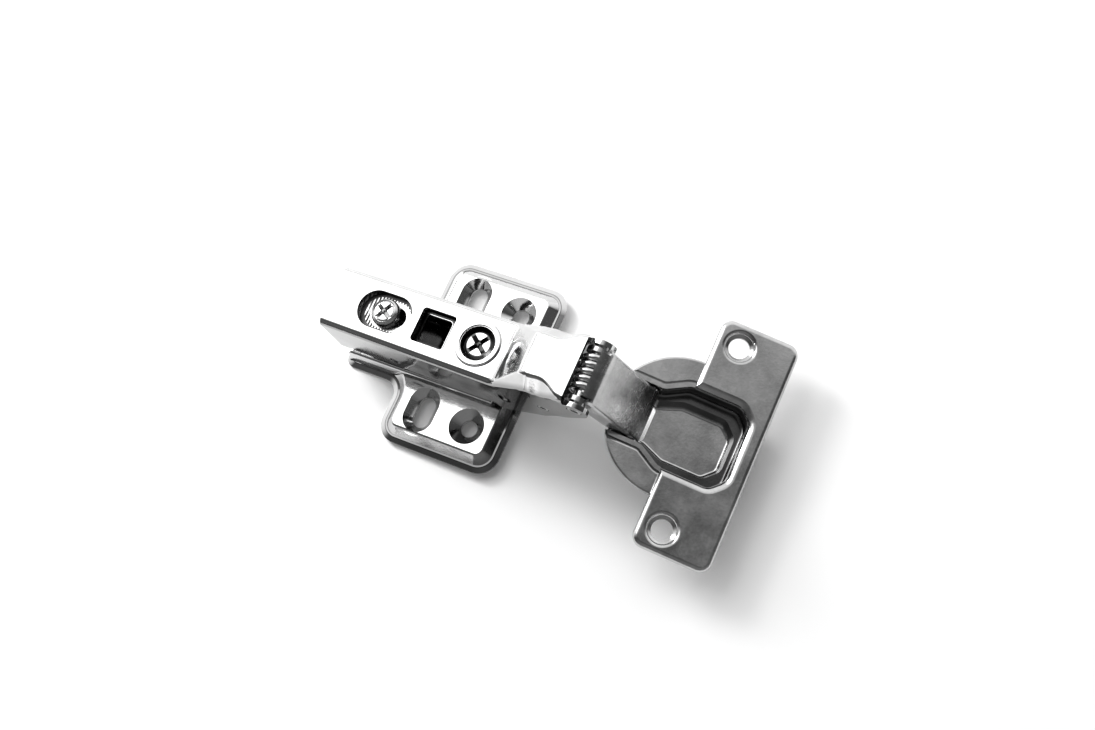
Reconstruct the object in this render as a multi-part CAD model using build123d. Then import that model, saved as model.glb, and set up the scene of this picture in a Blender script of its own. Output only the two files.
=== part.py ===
from build123d import *
import os
from math import acos, asin, atan2, cos, degrees, hypot, radians, sin, sqrt, tan

# Concealed cup hinge on its cruciform plate, with the door open.
# X runs along the arm towards the cup, Y across it and Z up from the panel face.
# The origin lies on the panel face, on the centre line between the two slots of the plate.
# A place in the XZ plane is written (x, z). A place in the cup is (u, w): u runs along the flange away
# from the arm, from the line of the two cup screws, and w is the depth under the face of the flange.

os.makedirs("parts", exist_ok=True)

# Sheets, fits and gaps
plate_sheet = 1.2
arm_sheet = 1.2
adapter_sheet = 1.1
link_sheet = 1.1
cup_sheet = 1.1
run_fit = 0.05
press_fit = 0.03
move_gap = 0.3
overcut = 1.0

# Mounting plate: outline, brim, bevel and raised wings
hole_span = 32.0
hole_offset = 13.4
wing_rear = -10.5
wing_front = 24.0
wing_half = 26.0
rail_rear = -27.5
rail_half = 11.0
corner_radius = 5.5
inner_corner_radius = 4.0
rail_corner_radius = 2.6
brim_height = 1.1
brim_width = 1.4
brim_edge = 0.5
wing_round = 0.7
bevel_width = 2.5
wing_height = 3.5

# Mounting plate: sunk slots and holes
slot_length = 8.4
slot_width = 4.6
slot_sink = 1.95
hole_radius = 2.2
hole_sink = 2.55
sink_floor = 1.1
sink_wall = 0.9
sink_lift = 0.15

# Mounting plate: ledge and ridge under the arm
ledge_rear = -25.4
ledge_front = 17.5
ledge_half = 8.6
ledge_foot_half = 9.7
ledge_height = 5.2
ledge_round = 0.8
ridge_rear = -20.5
ridge_step = -1.8
ridge_front = 16.5
ridge_half = 5.3
ridge_height = 19.4
ridge_low_height = 12.0
ridge_round = 1.0

# Arm: channel, crank and neck
arm_rear = -26.6
arm_top = 23.4
arm_flat = 7.1
arm_side = 8.2
arm_wall_bottom_rear = 8.0
arm_wall_bottom = 7.0
crank_start = 23.6
crank_flat = 7.45
crank_side = 8.6
crank_end = 32.9
bend_reach = 1.3
neck_top = 31.9
neck_waist_flat = 5.3
neck_waist_side = 8.4
neck_waist_drop = 4.2
neck_front_flat = 7.8
neck_front_side = 8.8
neck_front = 44.9
edge_drop = 1.1
edge_round = 1.2
neck_flare_start = 0.42
cheek_step_run = 1.2
cheek_step_round = 1.5
cheek_step = (20.8, 4.2)
cheek_bend = (34.5, 11.0)
cheek_bend_radius = 9.0
cheek_end_radius = 3.4

# Arm: openings in its top
oval_length = 15.2
oval_width = 10.1
square_rear = -1.4
square_front = 8.1
square_half = 4.6
square_corner = 0.9
collar_x = 16.05
collar_hole = 4.5
collar_rim = 6.0
collar_rise = 0.28

# Depth slide, overlay tilt and their pieces
slide_back = 2.5
slide_ahead = 0.9
tilt_limit = 1.2
tilt_pivot = (-8.1, 12.1)
tilt_rivet_radius = 1.5
rivet_inset = 0.15
guide_place = (24.5, 14.5)
guide_radius = 1.25
guide_inset = 0.1
guide_bevel = 0.25
guide_slot_width = 3.1
adapter_rear = -21.3
adapter_top = 21.2
adapter_lug_front = 27.2
adapter_lug_height = 6.2
tooth_pitch = 0.85
tooth_depth = 0.28
tooth_count = 18
window_lip = 0.9
adapter_fold = 1.3
adapter_margin = 0.5
seat_margin = 1.15
screw_x = -10.9
screw_radius = 2.45
screw_head_radius = 3.72
screw_head_height = 2.6
screw_rim_height = 1.1
screw_end = 12.6
screw_crown_radius = 2.3
screw_dome_radius = 3.35
screw_dome_drop = 0.55
screw_point = 0.4
screw_turned = 32
nut_width = 8.0
nut_height = 4.0
nut_spigot = 3.3
side_head_radius = 4.1
side_head_height = 1.4
side_head_rim = 0.95
side_turned = 8
side_neck_radius = 2.1
side_foot_radius = 3.5
side_foot_height = 1.0
side_foot_bevel = 0.3
cross_length = 5.4
cross_width = 1.15
cross_depth = 1.3
cross_foot_share = 0.45
cross_foot_width_share = 0.8

# Linkage: pivots on the arm, and in the cup as (u, w)
front_pivot = (47.2, 26.9)
rear_pivot = (36.2, 17.8)
outer_cup_pivot = (-15.5, 4.4)
inner_cup_pivot = (-19.3, 4.8)
front_pin_radius = 1.9
rear_pin_radius = 1.5
cup_pin_radius = 1.25
pin_dimple = 0.35
pin_dimple_share = 0.55
pin_bevel = 0.2

# Linkage: the loop is opened at the rear pivot, whose eye has play for the drift of constant ratios
eye_play = 1.57
eye_shift = (-0.59, 1.16)
eye_wall = 1.1
inner_eye_radius = 2.15
inner_link_half = 4.8
inner_stem = 2.0
hood_radius = 5.35
hood_start = 66.0
web_end_radius = 2.35
web_end_turn = 25.0
lug_outer = 6.9
lug_front_radius = 3.2
lug_cup_radius = 2.15
web_fold = 1.0
web_start_half = 5.6
web_relief_turn = 26.0
lug_back_turns = (150.0, 165.0)
pin_sweep = (150.0, 318.0)
coil_wire = 0.85
coil_pitch = 1.8
coil_turns = 5.2
coil_play = 0.1
coil_tail = 1.6
coil_tail_turn = 200.0

# Cup
flange_place = (72.5, 9.2)
flange_tilt = 18.0
cup_centre = -6.0
cup_radius = 17.5
flange_near = -6.0
flange_far = 13.8
flange_half = 29.8
flange_corner = 3.0
flange_lip = 1.9
flange_round = 1.2
lobe_drop = 1.2
cup_hole_half_span = 24.0
cup_hole_radius = 2.6
cup_hole_sink = 1.8
cup_hole_depth = 1.5
dimple_round = 1.0
dimple_wall = 0.8
dimple_under = 0.7
dimple_shoulder = 0.5
pocket_far = 9.1
pocket_side = 10.5
pocket_corner = 3.2
mouth_round = 1.9
lobe_round = 1.9
press_round = 0.7
pocket_chamfer = 3.1
pocket_taper_start = -6.8
pocket_taper_end = -12.4
bay_half = 7.3
bay_end = -20.1
ledge_depth = 7.0
well_far = 7.8
well_side = 8.1
well_chamfer = 3.6
well_bay_half = 5.9
well_bay_end = -19.3
well_corner = 3.2
well_slope = 1.1
floor_depth = 10.6
window_near = -18.3
window_far = -12.4
window_half = 4.5
window_corner = 1.0


# Sheet of a section at one place along X, seen along the arm
def across(x, sketch):
    return Plane(origin=(x, 0, 0), x_dir=(0, 1, 0), z_dir=(1, 0, 0)) * sketch


# Solid from a side view in the XZ plane, between two places across the hinge
def side_solid(sketch, y_low, y_high):
    plane = Plane(origin=(0, y_high, 0), x_dir=(1, 0, 0), z_dir=(0, -1, 0))
    return extrude(plane * sketch, y_high - y_low)


# Round bar across the hinge
def cross_bar(place, radius, y_low, y_high):
    return side_solid(Pos(*place) * Circle(radius), y_low, y_high)


# Point at a distance and an angle in degrees from another
def polar(place, radius, angle):
    return (place[0] + radius * cos(radians(angle)), place[1] + radius * sin(radians(angle)))


# Tapered plug between two flat outlines at two heights
def tapered(low_sketch, low_z, high_sketch, high_z):
    return loft([Pos(0, 0, low_z) * low_sketch, Pos(0, 0, high_z) * high_sketch])


# Rectangle given by its ends along X and its half width
def span(x_low, x_high, half):
    return Pos((x_low + x_high) / 2, 0) * Rectangle(x_high - x_low, 2 * half)


# Cross recess cut downwards from the top of a screw head
def cross_recess(x, top, turned):
    low, high = -cross_depth, overcut / 2
    grow = (high - low) / cross_depth
    recess = None
    for turn in (turned, turned + 90):
        bottom = Rotation(0, 0, turn) * Rectangle(
            cross_length * cross_foot_share, cross_width * cross_foot_width_share
        )
        mouth = Rotation(0, 0, turn) * Rectangle(
            cross_length * (cross_foot_share + (1 - cross_foot_share) * grow),
            cross_width * (cross_foot_width_share + (1 - cross_foot_width_share) * grow),
        )
        arm = tapered(bottom, low, mouth, high)
        recess = arm if recess is None else recess + arm
    heart = Rotation(0, 0, turned + 45) * Rectangle(1.8 * cross_width, 1.8 * cross_width)
    recess += tapered(offset(heart, -0.5 * cross_width), 1.4 * low, heart, high)
    return Pos(x, 0, top) * recess


# A place of the cup as world (x, z)
def cup_point(place):
    u, w = place
    tilt = radians(flange_tilt)
    x = flange_place[0] + u * cos(tilt) - w * sin(tilt)
    z = flange_place[1] - u * sin(tilt) - w * cos(tilt)
    return (x, z)


outer_cup_place = cup_point(outer_cup_pivot)
inner_cup_place = cup_point(inner_cup_pivot)


# Outline of the plate, drawn in by an inset
def plate_outline(inset):
    wings = span(wing_rear + inset, wing_front - inset, wing_half - inset)
    rail = span(rail_rear + inset, wing_rear + inset + overcut, rail_half - inset)
    outline = wings + rail
    tips = outline.vertices().filter_by(lambda v: abs(v.Y) > wing_half - inset - 0.1)
    outline = fillet(tips, corner_radius - 0.95 * inset)
    inner = outline.vertices().filter_by(
        lambda v: abs(v.X - wing_rear - inset) < 0.1 and abs(v.Y) < rail_half + 0.1
    )
    outline = fillet(inner, inner_corner_radius + inset)
    ends = outline.vertices().filter_by(lambda v: abs(v.X - rail_rear - inset) < 0.1)
    return fillet(ends, rail_corner_radius - 0.4 * inset)


# Sunk seat of a plate screw: the funnel to cut, and the metal around it
def sunk_seat(place, opening, sink):
    wide = offset(opening, sink)
    metal = Pos(*place, 0) * tapered(
        offset(opening, sink_wall), sink_lift, offset(wide, sink_wall), wing_height - plate_sheet / 2
    )
    funnel = Pos(*place, 0) * (
        tapered(opening, sink_floor, wide, wing_height) + extrude(opening, sink_floor)
        + extrude(Pos(0, 0, wing_height) * wide, overcut)
    )
    return metal, funnel


# Ridge and ledge block of the plate, as it is outside or inside the sheet
def ridge_block(wall):
    ledge_top = span(ledge_rear + wall, ledge_front - wall, ledge_half - wall)
    foot = span(ledge_rear - ledge_foot_half + ledge_half + wall, ledge_front - wall, ledge_foot_half - wall)
    ledge = tapered(foot, 0, ledge_top, ledge_height - wall)
    tall = extrude(span(ridge_rear + wall, ridge_step - wall, ridge_half - wall), ridge_height - wall)
    low = extrude(span(ridge_rear + wall, ridge_front - wall, ridge_half - wall), ridge_low_height - wall)
    if wall:
        return ledge + tall + low
    ledge = fillet(ledge.edges().group_by(Axis.Z)[-1], ledge_round)
    tall = fillet(tall.edges().filter_by(Axis.Z) + tall.edges().group_by(Axis.Z)[-1], ridge_round)
    low = fillet(low.edges().filter_by(Axis.Z) + low.edges().group_by(Axis.Z)[-1], ridge_round)
    return ledge + tall + low


def make_plate():
    brim = extrude(plate_outline(0), brim_edge)
    brim += tapered(plate_outline(0), brim_edge, plate_outline(brim_width), brim_height)
    bevel_top = brim_width + bevel_width
    wings = tapered(plate_outline(brim_width), brim_height / 2, plate_outline(bevel_top), wing_height)
    wings = fillet(wings.edges().group_by(Axis.Z)[-1], wing_round)
    body = brim + wings
    hollow = tapered(
        plate_outline(brim_width + 0.75 * plate_sheet), -overcut,
        plate_outline(bevel_top + 0.25 * plate_sheet), wing_height - plate_sheet,
    )
    slot = Rotation(0, 0, 90) * SlotOverall(slot_length, slot_width)
    body -= hollow
    funnels = []
    for side in (-1, 1):
        for x, opening, sink in ((0, slot, slot_sink), (hole_offset, Circle(hole_radius), hole_sink)):
            metal, funnel = sunk_seat((x, side * hole_span / 2), opening, sink)
            body += metal
            funnels.append(funnel)
    body += ridge_block(0)
    body -= ridge_block(plate_sheet) + extrude(
        Pos(0, 0, -overcut) * span(ledge_rear + plate_sheet, ledge_front - plate_sheet, ledge_half - plate_sheet),
        2 * overcut,
    )
    for funnel in funnels:
        body -= funnel
    body -= Pos(screw_x, 0, ridge_height) * Cylinder(nut_spigot + press_fit, 4 * plate_sheet)
    return body


def make_clamp_nut():
    under = ridge_height - plate_sheet
    block = extrude(Pos(screw_x, 0, under - nut_height) * Rectangle(nut_width, nut_width), nut_height)
    spigot = extrude(Pos(screw_x, 0, under) * Circle(nut_spigot), plate_sheet)
    bore = extrude(Pos(screw_x, 0, under - 2 * nut_height) * Circle(screw_radius + run_fit), 4 * nut_height)
    block = chamfer(block.edges().filter_by(Axis.Z), nut_width / 12)
    return block + spigot - bore


def make_fixing_screw():
    seat = adapter_top + move_gap
    top = seat + screw_head_height
    crown = (screw_crown_radius, top)
    half = Polyline(
        (0, screw_end), (screw_radius - screw_point, screw_end), (screw_radius, screw_end + screw_point),
        (screw_radius, seat),
        (screw_head_radius, seat), (screw_head_radius, seat + screw_rim_height),
    )
    dome = ThreePointArc(
        (screw_head_radius, seat + screw_rim_height), (screw_dome_radius, top - screw_dome_drop), crown
    )
    closing = Polyline(crown, (0, top), (0, screw_end))
    profile = make_face(Plane.XZ * (half + dome + closing))
    return Pos(screw_x, 0, 0) * revolve(profile, Axis.Z) - cross_recess(screw_x, top, screw_turned)


def make_side_screw():
    head_low = adapter_top + move_gap
    head_top = head_low + side_head_height
    foot_top = adapter_top - adapter_sheet - move_gap
    head = extrude(Pos(collar_x, 0, head_low) * Circle(side_head_radius), side_head_height)
    head = chamfer(head.edges().group_by(Axis.Z)[-1], side_head_rim)
    neck = extrude(Pos(collar_x, 0, foot_top) * Circle(side_neck_radius), head_low - foot_top)
    foot = extrude(Pos(collar_x, 0, foot_top - side_foot_height) * Circle(side_foot_radius), side_foot_height)
    foot = chamfer(foot.edges().group_by(Axis.Z)[0], side_foot_bevel)
    return head + neck + foot - cross_recess(collar_x, head_top, side_turned)


def make_adapter():
    outer_half = arm_side - arm_sheet - move_gap
    inner_half = outer_half - adapter_sheet
    bottom = ledge_height + move_gap
    front = collar_x + side_foot_radius + adapter_margin
    body = extrude(Pos(0, 0, bottom) * span(adapter_rear, front, outer_half), adapter_top - bottom)
    long_edges = body.edges().filter_by(Axis.X).group_by(Axis.Z)[-1]
    body = fillet(long_edges, adapter_fold)
    reach = guide_place[0] - front + 2 * overcut
    lug_plan = Pos(guide_place[0] - reach / 2, guide_place[1]) * Rectangle(reach, adapter_lug_height)
    lug_plan += Pos(*guide_place) * Circle(adapter_lug_height / 2)
    body += side_solid(lug_plan, -outer_half, outer_half)
    channel = span(adapter_rear - overcut, adapter_lug_front + 2 * overcut, inner_half)
    body -= extrude(Pos(0, 0, bottom - overcut) * channel, adapter_top - adapter_sheet - bottom + overcut)
    cut_high = adapter_top + overcut
    cut_deep = adapter_sheet + 2 * overcut
    slot_half_width = screw_radius + move_gap
    travel_length = slide_back + slide_ahead + 2 * slot_half_width
    slot_centre = screw_x + (slide_back - slide_ahead) / 2
    slot = Pos(slot_centre, 0) * SlotOverall(travel_length, 2 * slot_half_width)
    window = span(square_rear + window_lip, square_front - window_lip, square_half - window_lip)
    window = fillet(window.vertices(), square_corner)
    neck_half = side_neck_radius + move_gap
    neck_slot = span(collar_x, front + overcut, neck_half) + Pos(collar_x, 0) * Circle(neck_half)
    body -= extrude(Pos(0, 0, cut_high - cut_deep) * (slot + window + neck_slot), cut_deep)
    tooth = Plane.XZ * make_face(
        Polyline((-tooth_depth, 0.01), (0, -tooth_depth), (tooth_depth, 0.01), (-tooth_depth, 0.01))
    )
    groove = Pos(0, outer_half - adapter_sheet, adapter_top) * extrude(tooth, 2 * inner_half)
    seat = extrude(Pos(0, 0, adapter_top - adapter_sheet) * offset(slot, seat_margin), 2 * adapter_sheet)
    for index in range(tooth_count):
        offset_x = (index - (tooth_count - 1) / 2) * tooth_pitch
        body -= Pos(screw_x + offset_x, 0, 0) * groove - seat
    body -= cross_bar(tilt_pivot, tilt_rivet_radius + press_fit, -arm_side, arm_side)
    body -= cross_bar(guide_place, guide_radius + press_fit, -arm_side, arm_side)
    return body


def make_tilt_rivets():
    inner = arm_side - arm_sheet - move_gap - adapter_sheet
    near = cross_bar(tilt_pivot, tilt_rivet_radius, -arm_side + rivet_inset, -inner)
    return near + cross_bar(tilt_pivot, tilt_rivet_radius, inner, arm_side - rivet_inset)


def make_guide_pin():
    pin = cross_bar(guide_place, guide_radius, -arm_side + guide_inset, arm_side - guide_inset)
    return chamfer(pin.edges().filter_by(GeomType.CIRCLE), guide_bevel)


# Closed section of the arm's block: flat top, slanted shoulders and upright sides
def arm_section(x, top, flat, drop, side, wall, low):
    if wall:
        run = side - flat
        slant = hypot(run, drop)
        top_shift = wall * tan(acos(run / slant) / 2)
        side_shift = wall * tan(acos(drop / slant) / 2)
        flat, side, drop = flat - top_shift, side - wall, drop + side_shift - wall
        top -= wall
    points = [
        (-side, low), (side, low), (side, top - drop), (flat, top), (-flat, top), (-side, top - drop),
    ]
    outline = make_face(Polyline(*points, close=True))
    radius = edge_round - 0.7 * wall
    corners = outline.vertices().filter_by(lambda v: v.Y > low + 1)
    return across(x, fillet(corners, radius))


# Half width of the neck's flat and its shoulder drop, from the crank to the flared front
def neck_shape(x):
    waist_end = crank_end + neck_flare_start * (neck_front - crank_end)
    flare = min(max((x - waist_end) / (neck_front - 0.5 - waist_end), 0), 1)
    ease = flare * flare * (3 - 2 * flare)
    flat = neck_waist_flat + ease * (neck_front_flat - neck_waist_flat)
    drop = neck_waist_drop + ease * (edge_drop - neck_waist_drop)
    side = neck_waist_side + ease * (neck_front_side - neck_waist_side)
    return flat, drop, side


# Top and section of the arm at one place along X, with the two bends of the crank rounded
def arm_shape(x):
    rise = (neck_top - arm_top) / (crank_end - crank_start)
    near = max(min((x - crank_start + bend_reach) / (2 * bend_reach), 1), 0)
    far = max(min((x - crank_end + bend_reach) / (2 * bend_reach), 1), 0)
    lift_near = bend_reach * near * near if near < 1 else x - crank_start
    lift_far = bend_reach * far * far if far < 1 else x - crank_end
    top = arm_top + rise * (lift_near - lift_far)
    if x <= crank_start:
        share = (x - arm_rear) / (crank_start - arm_rear)
        flat = arm_flat + share * (crank_flat - arm_flat)
        return top, flat, edge_drop, arm_side + share * (crank_side - arm_side)
    if x >= crank_end:
        flat, drop, side = neck_shape(x)
        return top, flat, drop, side
    share = (x - crank_start) / (crank_end - crank_start)
    ease = share * share * (3 - 2 * share)
    flat = crank_flat + ease * (neck_waist_flat - crank_flat)
    drop = edge_drop + share * (neck_waist_drop - edge_drop)
    return top, flat, drop, crank_side + share * (neck_waist_side - crank_side)


# Block of the arm, outside or inside the sheet
def arm_block(wall):
    low = 0 - wall
    front_end = front_pivot[0] + 2 * cheek_end_radius
    bend_steps = (-1, -0.5, 0, 0.5, 1)
    first_bend = [crank_start + step * bend_reach for step in bend_steps]
    second_bend = [crank_end + step * bend_reach for step in bend_steps]
    slope = [first_bend[-1] + share * (second_bend[0] - first_bend[-1]) for share in (0, 0.33, 0.67, 1)]
    waist = [second_bend[-1] + share * (neck_front - second_bend[-1]) for share in (0, 0.25, 0.45, 0.65, 0.85, 1)]
    stretches = [[arm_rear - wall, first_bend[0]], first_bend, slope, second_bend, waist]
    block = None
    for stations in stretches:
        sections = [arm_section(x, *arm_shape(x), wall, low) for x in stations]
        part = loft(sections, ruled=len(stations) == 2)
        block = part if block is None else block + part
    flat, drop, side = neck_shape(neck_front)
    last = arm_section(front_end + wall, neck_top, flat, drop, side, wall, low)
    start = arm_section(neck_front, *arm_shape(neck_front), wall, low)
    return block + loft([start, last], ruled=True)


# Side view of the arm: straight walls, low cheeks and a round end about the front pin
def arm_side_view():
    high = neck_top + overcut
    end_x, end_z = front_pivot
    reach_x, reach_z = end_x - cheek_bend[0], end_z - cheek_bend[1]
    rise = atan2(reach_z, reach_x) - asin(cheek_end_radius / hypot(reach_x, reach_z))
    touch = (end_x + cheek_end_radius * sin(rise), end_z - cheek_end_radius * cos(rise))
    outline = Polyline(
        (arm_rear - overcut, arm_wall_bottom_rear), (cheek_step[0] - cheek_step_run, arm_wall_bottom), cheek_step, cheek_bend,
        touch, front_pivot, (neck_front, end_z), (neck_front, high), (arm_rear - overcut, high), close=True,
    )
    view = make_face(outline)
    bend = view.vertices().sort_by_distance(Vector(*cheek_bend, 0))[0]
    view = fillet(bend, cheek_bend_radius)
    step = view.vertices().sort_by_distance(Vector(*cheek_step, 0))[0]
    view = fillet(step, cheek_step_round)
    return view + Pos(*front_pivot) * Circle(cheek_end_radius)


def make_arm():
    wide = neck_front_side + overcut
    shell = arm_block(0) - arm_block(arm_sheet)
    shell = shell & side_solid(arm_side_view(), -wide, wide)
    rim = extrude(Pos(collar_x, 0, arm_top - arm_sheet / 2) * Circle(collar_rim), arm_sheet / 2 + collar_rise)
    rim = fillet(rim.edges().group_by(Axis.Z)[-1], collar_rise * 0.9)
    shell += rim
    square = span(square_rear, square_front, square_half)
    square = fillet(square.vertices(), square_corner)
    oval = Pos(screw_x, 0) * SlotOverall(oval_length, oval_width)
    openings = square + oval + Pos(collar_x, 0) * Circle(collar_hole)
    shell -= extrude(Pos(0, 0, arm_top - 2 * arm_sheet) * openings, 4 * arm_sheet)
    swing = hypot(guide_place[0] - tilt_pivot[0], guide_place[1] - tilt_pivot[1]) * sin(radians(tilt_limit))
    guide_slot = Pos(*guide_place) * Rotation(0, 0, 90) * SlotOverall(
        2 * (guide_radius + swing + move_gap), guide_slot_width
    )
    shell -= side_solid(guide_slot, -wide, wide)
    for place, radius in (
        (tilt_pivot, tilt_rivet_radius + run_fit),
        (front_pivot, front_pin_radius + press_fit),
        (rear_pivot, rear_pin_radius + press_fit),
    ):
        shell -= cross_bar(place, radius, -wide, wide)
    return shell


# Pin across the hinge with a shallow dimple in each end
def dimpled_pin(place, radius, half):
    pin = cross_bar(place, radius, -half, half)
    pin = chamfer(pin.edges().filter_by(GeomType.CIRCLE), pin_bevel)
    for side in (-1, 1):
        centre = side * (half - pin_dimple / 2)
        pin -= cross_bar(place, pin_dimple_share * radius, centre - pin_dimple, centre + pin_dimple)
    return pin


def make_front_pin():
    return dimpled_pin(front_pivot, front_pin_radius, neck_front_side)


def make_rear_pin():
    return dimpled_pin(rear_pivot, rear_pin_radius, neck_waist_side)


# Side view of the outer link's web: a hood about the front pin, then a straight run to the cup pin
def web_curve(inset):
    hood = hood_radius - inset
    heel = web_end_radius - inset
    from_x, from_z = front_pivot
    to_x, to_z = outer_cup_place
    run = hypot(to_x - from_x, to_z - from_z)
    slope = degrees(atan2(to_z - from_z, to_x - from_x))
    normal = slope + degrees(acos((hood - heel) / run))
    start = polar(front_pivot, hood, hood_start)
    middle = polar(front_pivot, hood, (hood_start + normal) / 2)
    turn = polar(front_pivot, hood, normal)
    meet = polar(outer_cup_place, heel, normal)
    heel_middle = polar(outer_cup_place, heel, normal - web_end_turn / 2)
    end = polar(outer_cup_place, heel, normal - web_end_turn)
    return start, middle, turn, meet, heel_middle, end


def make_outer_link():
    start, middle, turn, meet, heel_middle, end = web_curve(0)
    in_start, in_middle, in_turn, in_meet, in_heel_middle, in_end = web_curve(link_sheet)
    outer = ThreePointArc(start, middle, turn) + Line(turn, meet) + ThreePointArc(meet, heel_middle, end)
    web_folds = []
    back_high = polar(front_pivot, lug_front_radius, lug_back_turns[0])
    back_low = polar(outer_cup_place, lug_cup_radius, lug_back_turns[1])
    body_view = make_face(outer + Polyline(end, outer_cup_place, back_low, back_high, front_pivot, start))
    body = side_solid(body_view, -lug_outer, lug_outer)
    straight_middle = ((turn[0] + meet[0]) / 2, (turn[1] + meet[1]) / 2)
    for middle_point in (middle, straight_middle, heel_middle):
        folds = [
            body.edges().sort_by_distance(Vector(middle_point[0], side * lug_outer, middle_point[1]))[0]
            for side in (-1, 1)
        ]
        web_folds.extend(folds)
    body = fillet(web_folds, web_fold)
    body += cross_bar(outer_cup_place, lug_cup_radius, -lug_outer, lug_outer)
    body += cross_bar(front_pivot, lug_front_radius, -lug_outer, lug_outer)
    pin_path = hypot(inner_cup_place[0] - outer_cup_place[0], inner_cup_place[1] - outer_cup_place[1])
    reach = pin_path + cup_pin_radius + move_gap
    step = (pin_sweep[1] - pin_sweep[0]) / 4
    ring = [polar(outer_cup_place, 2 * reach, pin_sweep[0] + index * step) for index in range(5)]
    sector = make_face(Polyline(outer_cup_place, *ring, close=True))
    path = (Pos(*outer_cup_place) * (Circle(reach) - Circle(lug_cup_radius))) & sector
    body -= side_solid(path, -lug_outer, lug_outer)
    relief_ends = [
        polar(front_pivot, 2 * hood_radius, turn)
        for turn in (hood_start + web_relief_turn, hood_start - web_relief_turn)
    ]
    corner = make_face(Polyline(front_pivot, *relief_ends, close=True))
    corner = (Pos(*front_pivot) * (Circle(1.5 * hood_radius) - Circle(lug_front_radius + run_fit))) & corner
    body -= side_solid(corner, web_start_half, lug_outer + overcut)
    body -= side_solid(corner, -lug_outer - overcut, -web_start_half)
    between = lug_outer - link_sheet
    inside = ThreePointArc(in_start, in_middle, in_turn) + Line(in_turn, in_meet)
    inside += ThreePointArc(in_meet, in_heel_middle, in_end)
    far_back = polar(front_pivot, 3 * hood_radius, 200)
    beyond_start = polar(front_pivot, 3 * hood_radius, hood_start)
    beyond_end = polar(outer_cup_place, 3 * hood_radius, 200)
    foot = polar(outer_cup_place, 3 * hood_radius, 270)
    past_end = polar(end, hood_radius, degrees(atan2(end[1] - in_end[1], end[0] - in_end[0])))
    hollow = make_face(inside + Polyline(in_end, past_end, foot, beyond_end, far_back, beyond_start, in_start))
    body -= side_solid(hollow, -between, between)
    body -= cross_bar(front_pivot, front_pin_radius + run_fit, -lug_outer, lug_outer)
    body -= cross_bar(outer_cup_place, cup_pin_radius + run_fit, -lug_outer, lug_outer)
    return body


def make_inner_link():
    eye = (rear_pivot[0] + eye_shift[0], rear_pivot[1] + eye_shift[1])
    bore = rear_pin_radius + eye_play
    run = hypot(inner_cup_place[0] - eye[0], inner_cup_place[1] - eye[1])
    slope = degrees(atan2(inner_cup_place[1] - eye[1], inner_cup_place[0] - eye[0]))
    stem = Pos(*eye) * Rotation(0, 0, slope) * Pos(run / 2, 0) * Rectangle(run, inner_stem)
    view = stem + Pos(*eye) * Circle(bore + eye_wall) + Pos(*inner_cup_place) * Circle(inner_eye_radius)
    body = side_solid(view, -inner_link_half, inner_link_half)
    body -= cross_bar(eye, bore, -inner_link_half, inner_link_half)
    return body - cross_bar(inner_cup_place, cup_pin_radius + run_fit, -inner_link_half, inner_link_half)


# Close-wound coil about the front pin: one leg lies under the neck, the other behind the hood of the link
def make_spring():
    coil_radius = front_pin_radius + run_fit + coil_play + coil_wire
    length = coil_pitch * coil_turns
    path = Helix(coil_pitch, length, coil_radius)
    coil = sweep(Plane(origin=path @ 0, z_dir=path % 0) * Circle(coil_wire), path)
    coil = Pos(front_pivot[0], length / 2, front_pivot[1]) * Rotation(90, 0, 0) * coil
    leg_top = neck_top - arm_sheet - move_gap - front_pivot[1]
    leg = Cylinder(coil_wire, leg_top, align=(Align.CENTER, Align.CENTER, Align.MIN))
    back_leg = Pos(front_pivot[0] - coil_radius, 0, front_pivot[1]) * leg
    tail = Cylinder(coil_wire, coil_tail, align=(Align.CENTER, Align.CENTER, Align.MIN))
    front_leg = Pos(front_pivot[0] + coil_radius, length / 2, front_pivot[1]) * Rotation(0, coil_tail_turn, 0) * tail
    return coil + back_leg + front_leg


# Outline of the cup's pocket with rounded corners, drawn outwards by a margin
def pocket_outline(far, side, chamfer_size, half, end, corner, margin):
    points = [
        (far, -side + chamfer_size), (far, side - chamfer_size), (far - chamfer_size, side),
        (pocket_taper_start, side), (pocket_taper_end, half), (end, half), (end, -half),
        (pocket_taper_end, -half), (pocket_taper_start, -side), (far - chamfer_size, -side),
    ]
    outline = make_face(Polyline(*points, close=True))
    outline = fillet(outline.vertices().filter_by(lambda v: v.X > end + 0.1), corner)
    return offset(outline, margin) if margin else outline


def upper_outline(margin):
    return pocket_outline(pocket_far, pocket_side, pocket_chamfer, bay_half, bay_end, pocket_corner, margin)


def well_outline(margin):
    return pocket_outline(well_far, well_side, well_chamfer, well_bay_half, well_bay_end, well_corner, margin)


# Cutter for a mouth with a rounded rim, between two places along the cup
def rounded_mouth(level, radius, near, far):
    deep = radius + move_gap
    slab = extrude(Pos(0, 0, level - deep) * span(near, far, cup_radius - overcut), deep)
    rim = slab - extrude(Pos(0, 0, level - 2 * deep) * upper_outline(0), 4 * deep)
    edges = rim.edges().group_by(Axis.Z)[-1].filter_by(
        lambda e: near + 0.1 < e.center().X < far - 0.1 and abs(e.center().Y) < cup_radius - 1.5 * overcut
    )
    rim = fillet(edges, radius)
    return slab - rim


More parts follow.
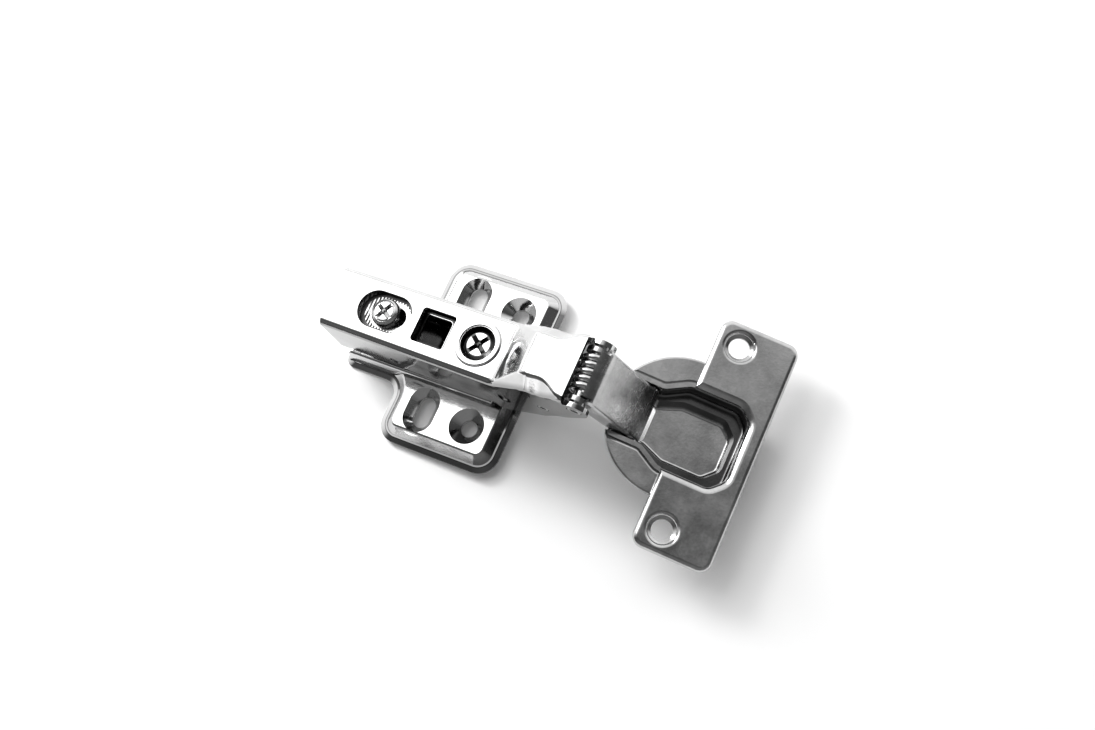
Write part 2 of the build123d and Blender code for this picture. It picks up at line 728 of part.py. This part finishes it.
# The cup in its own frame: X is u, and Z is minus the depth w
def cup_body():
    flange = span(flange_near, flange_far, flange_half)
    flange = extrude(Pos(0, 0, -flange_lip) * fillet(flange.vertices(), flange_corner), flange_lip)
    flange = fillet(flange.edges().group_by(Axis.Z)[-1], flange_round)
    under = span(flange_near + cup_sheet, flange_far - cup_sheet, flange_half - cup_sheet)
    under = extrude(Pos(0, 0, -flange_lip - overcut) * under, flange_lip + overcut - cup_sheet)
    disc = Pos(cup_centre, 0) * Circle(cup_radius)
    rear_half = span(cup_centre - 2 * cup_radius, cup_centre + overcut, 2 * cup_radius)
    lobes = extrude(Pos(0, 0, -lobe_drop - cup_sheet) * (disc & rear_half), cup_sheet)
    lobes = fillet(lobes.edges().group_by(Axis.Z)[-1].filter_by(GeomType.CIRCLE), cup_sheet / 2)
    upper_low = -ledge_depth - cup_sheet
    floor_low = -floor_depth - cup_sheet
    drum = extrude(Pos(cup_centre, 0, floor_low) * Circle(cup_radius - 0.1), -floor_low)
    walls = extrude(Pos(0, 0, upper_low) * upper_outline(cup_sheet), -upper_low - cup_sheet / 2) & drum
    well = tapered(well_outline(cup_sheet - well_slope), floor_low, well_outline(cup_sheet), -ledge_depth) & drum
    walls = fillet(walls.edges().group_by(Axis.Z)[0], press_round)
    well = fillet(well.edges().group_by(Axis.Z)[0], press_round)
    body = (flange - under) + lobes + walls + well
    pocket = extrude(Pos(0, 0, -ledge_depth) * upper_outline(0), ledge_depth + overcut)
    pocket = fillet(pocket.edges().group_by(Axis.Z)[0], press_round)
    well_cut = tapered(well_outline(-well_slope), -floor_depth, well_outline(0), -ledge_depth + press_round)
    well_cut = fillet(well_cut.edges().group_by(Axis.Z)[0], press_round)
    body -= pocket + well_cut
    body -= rounded_mouth(0, mouth_round, flange_near, flange_far)
    body -= rounded_mouth(-lobe_drop, lobe_round, cup_centre - cup_radius, flange_near + 0.01)
    window = fillet(span(window_near, window_far, window_half).vertices(), window_corner)
    body -= extrude(Pos(0, 0, floor_low - overcut) * window, cup_sheet + 2 * overcut)
    gate = span(cup_centre - 2 * cup_radius, bay_end + overcut, bay_half)
    body -= extrude(Pos(0, 0, -ledge_depth) * gate, ledge_depth + overcut)
    for side in (-1, 1):
        body = dimple(body, side * cup_hole_half_span)
    return body


# Sunk screw hole of the flange: rounded rim, steep wall and a ring round the hole
def dimple(body, y):
    rim_radius = cup_hole_radius + cup_hole_sink
    body += Pos(0, y) * tapered(
        Circle(cup_hole_radius + dimple_wall), -cup_hole_depth - dimple_under,
        Circle(rim_radius + dimple_shoulder), -cup_sheet,
    )
    arc_middle = (rim_radius - dimple_round * cos(radians(45)), dimple_round * (sin(radians(45)) - 1))
    wall_top = (rim_radius - dimple_round, -dimple_round)
    profile = Polyline(
        wall_top, (cup_hole_radius, -cup_hole_depth), (cup_hole_radius, -3 * cup_hole_depth),
        (0, -3 * cup_hole_depth), (0, overcut), (rim_radius, overcut), (rim_radius, 0),
    )
    profile += ThreePointArc((rim_radius, 0), arc_middle, wall_top)
    return body - Pos(0, y, 0) * revolve(Plane.XZ * make_face(profile), Axis.Z)


def make_cup():
    body = Pos(flange_place[0], 0, flange_place[1]) * Rotation(0, flange_tilt, 0) * cup_body()
    for place in (outer_cup_place, inner_cup_place):
        body -= cross_bar(place, cup_pin_radius + press_fit, -cup_radius, cup_radius)
    return body


def make_cup_pin(place):
    return dimpled_pin(place, cup_pin_radius, bay_half + cup_sheet)


nodes = {
    "mounting_plate": make_plate(),
    "clamp_nut": make_clamp_nut(),
    "fixing_screw": make_fixing_screw(),
    "slide_adapter": make_adapter(),
    "tilt_rivets": make_tilt_rivets(),
    "guide_pin": make_guide_pin(),
    "side_screw": make_side_screw(),
    "arm": make_arm(),
    "front_pin": make_front_pin(),
    "rear_pin": make_rear_pin(),
    "link_spring": make_spring(),
    "outer_link": make_outer_link(),
    "inner_link": make_inner_link(),
    "outer_cup_pin": make_cup_pin(outer_cup_place),
    "inner_cup_pin": make_cup_pin(inner_cup_place),
    "cup": make_cup(),
}
for name, solid in nodes.items():
    export_step(solid, f"parts/{name}.step")
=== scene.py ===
import bpy
import bmesh
from math import radians, atan, pi
from mathutils import Matrix, Vector


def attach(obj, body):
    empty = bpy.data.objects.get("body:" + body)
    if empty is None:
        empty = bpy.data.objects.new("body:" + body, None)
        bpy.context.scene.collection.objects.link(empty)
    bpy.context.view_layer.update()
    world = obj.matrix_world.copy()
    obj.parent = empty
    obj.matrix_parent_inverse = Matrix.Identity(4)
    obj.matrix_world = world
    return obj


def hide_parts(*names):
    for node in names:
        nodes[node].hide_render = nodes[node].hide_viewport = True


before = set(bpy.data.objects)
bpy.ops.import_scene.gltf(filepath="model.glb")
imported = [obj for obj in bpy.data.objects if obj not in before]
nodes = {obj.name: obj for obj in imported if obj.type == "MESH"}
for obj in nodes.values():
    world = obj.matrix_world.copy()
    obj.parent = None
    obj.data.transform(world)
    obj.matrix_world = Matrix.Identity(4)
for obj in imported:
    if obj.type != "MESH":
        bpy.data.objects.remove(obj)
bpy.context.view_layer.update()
mm = 0.001


# one output of a node, with arithmetic that adds Math nodes
class Socket:
    def __init__(self, tree, out):
        self.tree = tree
        self.out = out

    def math(self, operation, a, b):
        return self.tree.add("ShaderNodeMath", {"operation": operation}, {0: a, 1: b})

    def __add__(self, other): return self.math("ADD", self, other)
    def __radd__(self, other): return self.math("ADD", other, self)
    def __sub__(self, other): return self.math("SUBTRACT", self, other)
    def __rsub__(self, other): return self.math("SUBTRACT", other, self)
    def __mul__(self, other): return self.math("MULTIPLY", self, other)
    def __rmul__(self, other): return self.math("MULTIPLY", other, self)
    def __truediv__(self, other): return self.math("DIVIDE", self, other)
    def __rtruediv__(self, other): return self.math("DIVIDE", other, self)


# the node tree of one material, or of the world
class Shader:
    def __init__(self, name, world=False):
        self.owner = bpy.data.worlds.new(name) if world else bpy.data.materials.new(name)
        self.owner.use_nodes = True
        self.nodes = self.owner.node_tree.nodes
        self.links = self.owner.node_tree.links
        self.nodes.clear()
        self.end = self.nodes.new("ShaderNodeOutputWorld" if world else "ShaderNodeOutputMaterial")

    def add(self, kind, settings=None, inputs=None, out=0):
        node = self.nodes.new(kind)
        for key, value in (settings or {}).items():
            if key == "stops":
                ramp = node.color_ramp
                while len(ramp.elements) < len(value):
                    ramp.elements.new(0.5)
                for element, (place, tone) in zip(ramp.elements, value):
                    element.position = place
                    element.color = (tone, tone, tone, 1)
            else:
                setattr(node, key, value)
        for key, value in (inputs or {}).items():
            if isinstance(value, Socket):
                self.links.new(value.out, node.inputs[key])
            else:
                node.inputs[key].default_value = value
        return Socket(self, node.outputs[out])

    def finish(self, surface):
        self.links.new(surface.out, self.end.inputs["Surface"])
        return self.owner

    def place(self, stretch=(1, 1, 1), turn=(0, 0, 0)):
        here = self.add("ShaderNodeTexCoord", out="Object")
        return self.add("ShaderNodeMapping", {}, {"Vector": here, "Scale": stretch, "Rotation": turn})

    def noise(self, where, scale, detail, rough):
        return self.add("ShaderNodeTexNoise", {}, {
            "Vector": where, "Scale": scale, "Detail": detail, "Roughness": rough,
        })

    def ramp(self, value, *stops):
        return self.add("ShaderNodeValToRGB", {"stops": stops}, {"Fac": value})

    def grey(self, value):
        return self.add("ShaderNodeCombineColor", {}, {0: value, 1: value, 2: value})


# tone and roughness of each metal with their spread; stains have a size (blotch) and a share of fine specks,
# wave is the swell of the sheet and grain the scratches; patches of painted shade keep only part of the tone,
# where the place along a way, in millimetres, lies in all of their bands
metals = {
    "polished": dict(
        tone=0.60, toneSpan=0.08, rough=0.08, roughSpan=0.08, wave=0.14, grain=0.03, blotch=90.0, speck=0.10,
    ),
    # painted shade: the near cheek is kept darker, as it mirrors the shaded table in front of it
    "arm": dict(
        tone=0.60, toneSpan=0.08, rough=0.08, roughSpan=0.08, wave=0.14, grain=0.03, blotch=90.0, speck=0.10,
        shadePatches=(dict(keep=0.55, bands=(dict(way=(0, -1, 0), low=7.3, high=8.1, stops=((0.0, 0.0), (1.0, 1.0))),)),),
    ),
    # painted shade: a dark line in the crease between brim and bevel, and darker bevels on the near wing
    "plateWithPaintedShade": dict(
        tone=0.60, toneSpan=0.08, rough=0.08, roughSpan=0.08, wave=0.14, grain=0.03, blotch=90.0, speck=0.10,
        shadePatches=(
            dict(keep=0.32, bands=(
                dict(way=(0, 0, 1), low=0.90, high=1.25, stops=((0.25, 0.0), (0.40, 1.0), (0.68, 1.0), (0.85, 0.0))),
            )),
            dict(keep=0.50, bands=(
                dict(way=(0, 0, 1), low=0.0, high=5.0, stops=((0.30, 1.0), (0.55, 0.50), (0.66, 0.50), (0.69, 0.0))),
                dict(way=(0.5, -1, 0), low=20.0, high=26.0, stops=((0.0, 0.0), (1.0, 1.0))),
            )),
        ),
    ),
    "satin": dict(
        tone=0.44, toneSpan=0.26, rough=0.20, roughSpan=0.14, wave=0.08, grain=0.04, blotch=130.0, speck=0.15,
    ),
    # painted shade: the walls of the cup's pocket are darker than its flange and floor
    "satinCupPaintedShade": dict(
        tone=0.54, toneSpan=0.26, rough=0.16, roughSpan=0.12, wave=0.06, grain=0.04, blotch=110.0, speck=0.12,
        shadePatches=(dict(keep=0.26, bands=(
            dict(
                way=(-0.30902, 0, -0.95106), low=-31.154, high=-19.154,
                stops=((0.10, 0.12), (0.22, 1.0), (0.79, 1.0), (0.86, 0.0)),
            ),
        )),),
    ),
    "steel": dict(
        tone=0.58, toneSpan=0.16, rough=0.16, roughSpan=0.14, wave=0.03, grain=0.05, blotch=260.0, speck=0.20,
    ),
    "wire": dict(
        tone=0.58, toneSpan=0.12, rough=0.12, roughSpan=0.08, wave=0.02, grain=0.03, blotch=400.0, speck=0.10,
    ),
    # painted shade where the arm covers it: dark ahead of the oval hole
    "adapterPaintedShade": dict(
        tone=0.58, toneSpan=0.12, rough=0.18, roughSpan=0.10, wave=0.02, grain=0.05, blotch=260.0, speck=0.20,
        shadePatches=(dict(keep=0.05, bands=(dict(way=(1, 0, 0), low=-4.5, high=-2.5, stops=((0.0, 0.0), (1.0, 1.0))),)),),
    ),
    # painted shade: the side screw, sunk in its hole, is painted nearly black
    "sideScrewPaintedShade": dict(
        tone=0.06, toneSpan=0.03, rough=0.25, roughSpan=0.08, wave=0.01, grain=0.03, blotch=300.0, speck=0.10,
    ),
    # painted shade: the pan head is darker in its cross and under its rim
    "panHeadPaintedShade": dict(
        tone=0.54, toneSpan=0.12, rough=0.20, roughSpan=0.10, wave=0.02, grain=0.05, blotch=260.0, speck=0.20,
        shadePatches=(dict(keep=0.30, bands=(dict(way=(0, 0, 1), low=22.9, high=23.5, stops=((0.0, 1.0), (1.0, 0.0))),)),),
    ),
    # painted shade: near black, for thin bands that stand in for shade under the arm
    "shadeBlack": dict(
        tone=0.06, toneSpan=0.02, rough=0.35, roughSpan=0.10, wave=0.01, grain=0.03, blotch=300.0, speck=0.10,
    ),
}

# what all the metals share: the noises, how they mix, and how deep each relief is in metres
wear = dict(
    blotchDetail=6.0, blotchRough=0.62, broadShare=0.28, broadDetail=3.0, broadRough=0.5,
    speckSize=1500.0, speckDetail=3.0, speckRough=0.6, speckStops=((0.38, 0.0), (0.66, 1.0)),
    scratchStretch=(1.0, 0.06, 1.0), scratchTurn=(0, 0, 0.5), scratchSize=2600.0, scratchDetail=2.0,
    scratchRough=0.5, scratchStops=((0.56, 0.0), (0.66, 1.0)), scratchTone=0.4,
    grainSize=5200.0, grainDetail=2.0, grainRough=0.6,
    blotchMix=0.65, broadMix=0.35, mottleStops=((0.38, 0.0), (0.62, 1.0)), toneBelow=0.5, roughBelow=0.4,
    swellSize=75.0, swellDetail=2.0, swellRough=0.4, swellDeep=0.0012,
    dentStrength=0.4, dentDeep=0.00005, grainDeep=0.00006,
)


def makeMetal(name, look):
    s = Shader(name)
    here = s.place()
    blotches = s.noise(here, look["blotch"], wear["blotchDetail"], wear["blotchRough"])
    broad = s.noise(here, look["blotch"] * wear["broadShare"], wear["broadDetail"], wear["broadRough"])
    specks = s.ramp(s.noise(here, wear["speckSize"], wear["speckDetail"], wear["speckRough"]), *wear["speckStops"])
    along = s.place(wear["scratchStretch"], wear["scratchTurn"])
    scratches = s.noise(along, wear["scratchSize"], wear["scratchDetail"], wear["scratchRough"])
    scratches = s.ramp(scratches, *wear["scratchStops"])
    grain = s.noise(here, wear["grainSize"], wear["grainDetail"], wear["grainRough"])
    mottle = s.ramp(blotches * wear["blotchMix"] + broad * wear["broadMix"], *wear["mottleStops"])
    cloud = mottle * (1 - look["speck"]) + specks * look["speck"]
    tone = (look["tone"] - look["toneSpan"] * wear["toneBelow"]) + cloud * look["toneSpan"]
    tone = tone - scratches * (look["grain"] * wear["scratchTone"])
    rough = (look["rough"] - look["roughSpan"] * wear["roughBelow"]) + cloud * look["roughSpan"]
    rough = rough + scratches * look["grain"]
    for patch in look.get("shadePatches", ()):
        share = 1.0
        for band in patch["bands"]:
            way = s.add("ShaderNodeVectorMath", {"operation": "DOT_PRODUCT"}, {0: here, 1: band["way"]}, out="Value")
            inBand = (way - band["low"] * mm) / ((band["high"] - band["low"]) * mm)
            share = s.ramp(inBand, *band["stops"]) * share
        tone = tone * (1 - share * (1 - patch["keep"]))
    wavy = s.noise(here, wear["swellSize"], wear["swellDetail"], wear["swellRough"])
    swell = s.add("ShaderNodeBump", {}, {"Height": wavy, "Strength": look["wave"], "Distance": wear["swellDeep"]})
    dents = s.add("ShaderNodeBump", {}, {
        "Height": specks, "Strength": look["speck"] * wear["dentStrength"], "Distance": wear["dentDeep"],
        "Normal": swell,
    })
    fine = s.add("ShaderNodeBump", {}, {
        "Height": grain, "Strength": look["grain"], "Distance": wear["grainDeep"], "Normal": dents,
    })
    metal = s.add("ShaderNodeBsdfPrincipled", {}, {
        "Base Color": s.grey(tone), "Metallic": 1.0, "Roughness": rough, "Normal": fine,
    })
    return s.finish(metal)


finishes = {
    "mounting_plate": "plateWithPaintedShade", "arm": "arm", "fixing_screw": "steel", "slide_adapter": "adapterPaintedShade",
    "clamp_nut": "steel", "tilt_rivets": "steel", "guide_pin": "steel", "side_screw": "sideScrewPaintedShade",
    "front_pin": "steel", "rear_pin": "steel", "link_spring": "wire", "outer_link": "satin",
    "inner_link": "satin", "outer_cup_pin": "steel", "inner_cup_pin": "steel", "cup": "satinCupPaintedShade",
}
made = {name: makeMetal(name, look) for name, look in metals.items()}
for name, finish in finishes.items():
    for slot in nodes[name].material_slots:
        slot.material = made[finish]
print("metals on", len(finishes), "pieces")


# makes a piece that rides on a body, from a bmesh in millimetres about the piece's own centre
def addPiece(name, bm, body, finish, place=(0, 0, 0), smooth=False):
    bmesh.ops.translate(bm, verts=bm.verts, vec=place)
    bmesh.ops.scale(bm, verts=bm.verts, vec=(mm, mm, mm))
    bmesh.ops.recalc_face_normals(bm, faces=bm.faces)
    mesh = bpy.data.meshes.new(name)
    bm.to_mesh(mesh)
    bm.free()
    for face in mesh.polygons:
        face.use_smooth = smooth
    mesh.materials.append(made[finish])
    piece = bpy.data.objects.new(name, mesh)
    bpy.context.scene.collection.objects.link(piece)
    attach(piece, body)
    return piece


# the two screws keep their CAD shape, with the cross turned as in the photograph; above the crown, the pan head
# falls away from its middle
turnedScrews = {
    "sideScrew": dict(
        node="side_screw", body="side_screw", centre=(16.05, 0, 0), turn=44, finish="sideScrewPaintedShade", crown=22.8,
        fall=0.0,
    ),
    "fixingScrew": dict(
        node="fixing_screw", body="base", centre=(-10.9, 0, 0), turn=28, finish="panHeadPaintedShade", crown=23.9, fall=0.12,
    ),
}
closeCorners = 1e-7  # metres


def makeTurnedScrew(name, facts):
    bm = bmesh.new()
    bm.from_mesh(nodes[facts["node"]].data)
    bmesh.ops.remove_doubles(bm, verts=bm.verts, dist=closeCorners)
    bmesh.ops.scale(bm, verts=bm.verts, vec=(1 / mm,) * 3)
    middle = Vector(facts["centre"])
    bmesh.ops.rotate(bm, verts=bm.verts, cent=middle, matrix=Matrix.Rotation(radians(facts["turn"]), 3, "Z"))
    for corner in [v for v in bm.verts if v.co.z > facts["crown"]]:
        corner.co.z -= facts["fall"] * (corner.co - middle).xy.length
    piece = addPiece(name, bm, facts["body"], facts["finish"])
    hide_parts(facts["node"])


# lifts a flat bmesh face into a band of the given height
def raiseBand(bm, faces, height):
    band = bmesh.ops.extrude_face_region(bm, geom=faces)
    raised = [v for v in band["geom"] if isinstance(v, bmesh.types.BMVert)]
    bmesh.ops.translate(bm, verts=raised, vec=(0, 0, height))


# four bright lands of the side screw's head, with its wide cross between them
screwLands = dict(centre=(16.05, 0, 22.89), outer=2.95, inner=1.15, gap=1.25, rise=0.13, turn=52, segments=64)


def makeScrewLands():
    bm = bmesh.new()
    for quarter in range(4):
        old = set(bm.verts)

        def fresh(parts):
            return [p for p in parts if not old.intersection(getattr(p, "verts", (p,)))]

        bmesh.ops.create_circle(bm, cap_ends=True, segments=screwLands["segments"], radius=screwLands["outer"])
        bmesh.ops.inset_region(
            bm, faces=fresh(bm.faces), thickness=screwLands["outer"] - screwLands["inner"],
            use_even_offset=True, use_boundary=True,
        )
        middle = max(fresh(bm.faces), key=lambda f: len(f.verts))
        bmesh.ops.delete(bm, geom=[middle], context="FACES_ONLY")
        for side in (Vector((1, 0, 0)), Vector((0, 1, 0))):
            bmesh.ops.bisect_plane(
                bm, geom=fresh(bm.verts) + fresh(bm.edges) + fresh(bm.faces),
                plane_co=side * screwLands["gap"] / 2, plane_no=side, clear_inner=True,
            )
        raiseBand(bm, fresh(bm.faces), screwLands["rise"])
        turn = Matrix.Rotation(radians(screwLands["turn"] + 90 * quarter), 3, "Z")
        bmesh.ops.rotate(bm, verts=fresh(bm.verts), matrix=turn)
    addPiece("screwLands", bm, "side_screw", "steel", screwLands["centre"])


# raised ring pressed round the hole of the side screw
collarRing = dict(
    centre=(16.05, 0, 23.4), inner=4.62, outer=6.05, top=0.62, slope=0.28, steps=96, joined=1e-4,
    rim=0.22, rimSteps=4, rimAngle=30, level=0.01,
)


def makeCollarRing():
    bm = bmesh.new()
    profile = (
        (collarRing["inner"], 0), (collarRing["outer"], 0),
        (collarRing["outer"] - collarRing["slope"], collarRing["top"]), (collarRing["inner"], collarRing["top"]),
    )
    loop = [bm.verts.new((out, 0, up)) for out, up in profile]
    for index, corner in enumerate(loop):
        bm.edges.new((corner, loop[(index + 1) % len(loop)]))
    bmesh.ops.spin(
        bm, geom=bm.verts[:] + bm.edges[:], cent=(0, 0, 0), axis=(0, 0, 1), angle=radians(360),
        steps=collarRing["steps"], use_merge=True,
    )
    bmesh.ops.remove_doubles(bm, verts=bm.verts, dist=collarRing["joined"])
    rims = [
        e for e in bm.edges
        if min(v.co.z for v in e.verts) > collarRing["top"] - collarRing["level"]
        and len(e.link_faces) == 2 and e.calc_face_angle(0) > radians(collarRing["rimAngle"])
    ]
    bmesh.ops.bevel(
        bm, geom=rims, offset=collarRing["rim"], segments=collarRing["rimSteps"], profile=0.5, affect="EDGES",
        material=-1,
    )
    addPiece("collarRing", bm, "arm", "polished", collarRing["centre"], smooth=True)


# painted shade: a dark band round the toothed seat, seen just inside the oval hole where the arm shades it
seatBorder = dict(centre=(-10.8, 0, 21.18), halfLong=6.45, halfWide=4.25, band=1.05, rise=0.07, segments=48, mid=0.01)


def makeSeatBorder():
    bm = bmesh.new()
    outer = seatBorder["halfWide"] + seatBorder["band"]
    bmesh.ops.create_circle(bm, cap_ends=True, segments=seatBorder["segments"], radius=outer)
    bmesh.ops.inset_region(
        bm, faces=bm.faces[:], thickness=seatBorder["band"], use_even_offset=True, use_boundary=True,
    )
    middle = max(bm.faces, key=lambda f: len(f.verts))
    bmesh.ops.delete(bm, geom=[middle], context="FACES_ONLY")
    stretch = seatBorder["halfLong"] - seatBorder["halfWide"]
    for side in (-1, 1):
        end = [v for v in bm.verts if v.co.x * side > seatBorder["mid"]]
        bmesh.ops.translate(bm, verts=end, vec=(side * stretch, 0, 0))
    raiseBand(bm, bm.faces[:], seatBorder["rise"])
    addPiece("seatBorder", bm, "slide", "shadeBlack", seatBorder["centre"])


# thin frame round the window of the adapter, seen in the square hole: a lip painted dark as shade, and its bright
# inner edge
windowFrames = {
    "windowLip": dict(
        xLow=-2.30, xHigh=6.75, yLow=-4.45, yHigh=3.70, band=0.55, low=21.18, high=21.30, finish="shadeBlack",
        corner=1.0, cornerSteps=8,
    ),
    "windowLine": dict(
        xLow=-2.35, xHigh=6.70, yLow=-4.50, yHigh=3.65, band=0.13, low=21.18, high=21.34, finish="steel",
        corner=1.0, cornerSteps=8,
    ),
}


def makeWindowFrame(name, facts):
    bm = bmesh.new()
    bmesh.ops.create_grid(bm, x_segments=1, y_segments=1, size=0.5)
    band = facts["band"]
    long = facts["xHigh"] - facts["xLow"] + 2 * band
    wide = facts["yHigh"] - facts["yLow"] + 2 * band
    bmesh.ops.scale(bm, verts=bm.verts, vec=(long, wide, 1))
    bmesh.ops.bevel(
        bm, geom=bm.verts[:], offset=facts["corner"] + band, segments=facts["cornerSteps"], profile=0.5,
        affect="VERTICES", material=-1,
    )
    bmesh.ops.inset_region(bm, faces=bm.faces[:], thickness=band, use_even_offset=True, use_boundary=True)
    middle = max(bm.faces, key=lambda f: f.calc_area())
    bmesh.ops.delete(bm, geom=[middle], context="FACES_ONLY")
    raiseBand(bm, bm.faces[:], facts["high"] - facts["low"])
    place = ((facts["xLow"] + facts["xHigh"]) / 2, (facts["yLow"] + facts["yHigh"]) / 2, facts["low"])
    addPiece(name, bm, "slide", facts["finish"], place)


for name, facts in turnedScrews.items():
    makeTurnedScrew(name, facts)
makeScrewLands()
makeCollarRing()
makeSeatBorder()
for name, facts in windowFrames.items():
    makeWindowFrame(name, facts)
print("screws, collar ring, seat border and window frame made")

# the hinge rests on the rear end of its plate and on the flange, so the table slopes from the one to the other
table = dict(
    half=1.2, tone=0.92, cameraLift=0.06, liftNear=0.17, liftFar=0.50,
    restRear=(-27.5, 0.0), restFront=(75.5, -4.45),
)


def makeTable():
    slope = atan((table["restRear"][1] - table["restFront"][1]) / (table["restFront"][0] - table["restRear"][0]))
    rear = Matrix.Translation((table["restRear"][0] * mm, 0, table["restRear"][1] * mm))
    mesh = bpy.data.meshes.new("table")
    bm = bmesh.new()
    bmesh.ops.create_grid(bm, x_segments=1, y_segments=1, size=table["half"])
    bmesh.ops.transform(bm, matrix=rear @ Matrix.Rotation(slope, 4, "Y"), verts=bm.verts)
    bm.to_mesh(mesh)
    bm.free()
    s = Shader("tablePaper")
    paper = s.add("ShaderNodeBsdfDiffuse", {}, {"Color": (table["tone"],) * 3 + (1,)})
    here = s.add("ShaderNodeTexCoord", out="Object")
    reach = s.add("ShaderNodeVectorMath", {"operation": "LENGTH"}, {0: here}, out="Value")
    away = (reach - table["liftNear"]) / (table["liftFar"] - table["liftNear"])
    glow = s.ramp(away, (0.0, table["cameraLift"]), (1.0, 1.0))
    lift = s.add("ShaderNodeEmission", {}, {"Color": (1, 1, 1, 1), "Strength": glow})
    seen = s.add("ShaderNodeLightPath", out="Is Camera Ray") + s.add("ShaderNodeLightPath", out="Is Glossy Ray")
    seen = seen + s.add("ShaderNodeLightPath", out="Is Transmission Ray")
    both = s.add("ShaderNodeAddShader", {}, {0: paper, 1: lift})
    mesh.materials.append(s.finish(s.add("ShaderNodeMixShader", {}, {0: seen, 1: paper, 2: both})))
    floor = bpy.data.objects.new("table", mesh)
    bpy.context.scene.collection.objects.link(floor)


# bright from behind on the left, dark towards the near right
sky = dict(
    strength=1.4, leanX=-0.50, leanY=0.85,
    byLean=((0.15, 0.16), (0.38, 0.07), (0.47, 0.06), (0.505, 0.14), (0.55, 0.44), (0.64, 0.80), (0.80, 1.0)),
)


def makeSky():
    s = Shader("studio", world=True)
    way = s.add("ShaderNodeTexCoord", out="Generated")
    along = s.add("ShaderNodeSeparateXYZ", {}, {0: way}, out="X")
    across = s.add("ShaderNodeSeparateXYZ", {}, {0: way}, out="Y")
    lean = along * (sky["leanX"] / 2) + across * (sky["leanY"] / 2) + 0.5
    glow = s.ramp(lean, *sky["byLean"])
    bpy.context.scene.world = s.finish(s.add("ShaderNodeBackground", {}, {"Color": glow, "Strength": sky["strength"]}))


lampsAimAt = Vector((0.03, 0, 0))
lamps = {
    "overhead": dict(towards=(-0.43, 0.255, 0.87), away=0.75, size=0.44, glow=2.3),
    "highWindow": dict(towards=(-0.72, 0.33, 0.61), away=0.72, size=0.22, glow=17.0),
    "window": dict(towards=(-0.78, 0.36, 0.52), away=0.70, size=0.20, glow=13.0),
}


def makeLamp(name, facts):
    light = bpy.data.lights.new(name, "AREA")
    light.shape = "SQUARE"
    light.size = facts["size"]
    light.energy = facts["glow"] * pi * facts["size"] ** 2
    lamp = bpy.data.objects.new(name, light)
    bpy.context.scene.collection.objects.link(lamp)
    way = Vector(facts["towards"]).normalized()
    lamp.location = lampsAimAt + way * facts["away"]
    lamp.rotation_mode = "QUATERNION"
    lamp.rotation_quaternion = (-way).to_track_quat("-Z", "Y")


view = dict(
    place=(173.48, -86.62, 352.07), forward=(-0.3773, 0.2375, -0.8951), right=(0.8761, 0.4048, -0.2619),
    focalPixels=1550.28, widthPixels=1095,
)


def makeCamera():
    lens = bpy.data.cameras.new("camera")
    lens.sensor_width = 36.0
    lens.lens = view["focalPixels"] / view["widthPixels"] * lens.sensor_width
    lens.clip_start = 0.01
    camera = bpy.data.objects.new("camera", lens)
    bpy.context.scene.collection.objects.link(camera)
    back = -Vector(view["forward"]).normalized()
    right = Vector(view["right"])
    right = (right - back * right.dot(back)).normalized()
    up = back.cross(right)
    turn = Matrix((right, up, back)).transposed().to_4x4()
    camera.matrix_world = Matrix.Translation(Vector(view["place"]) * mm) @ turn
    bpy.context.scene.camera = camera


makeTable()
makeSky()
for name, facts in lamps.items():
    makeLamp(name, facts)
makeCamera()
bpy.context.scene.view_settings.view_transform = "Standard"
print("table, light and camera placed")
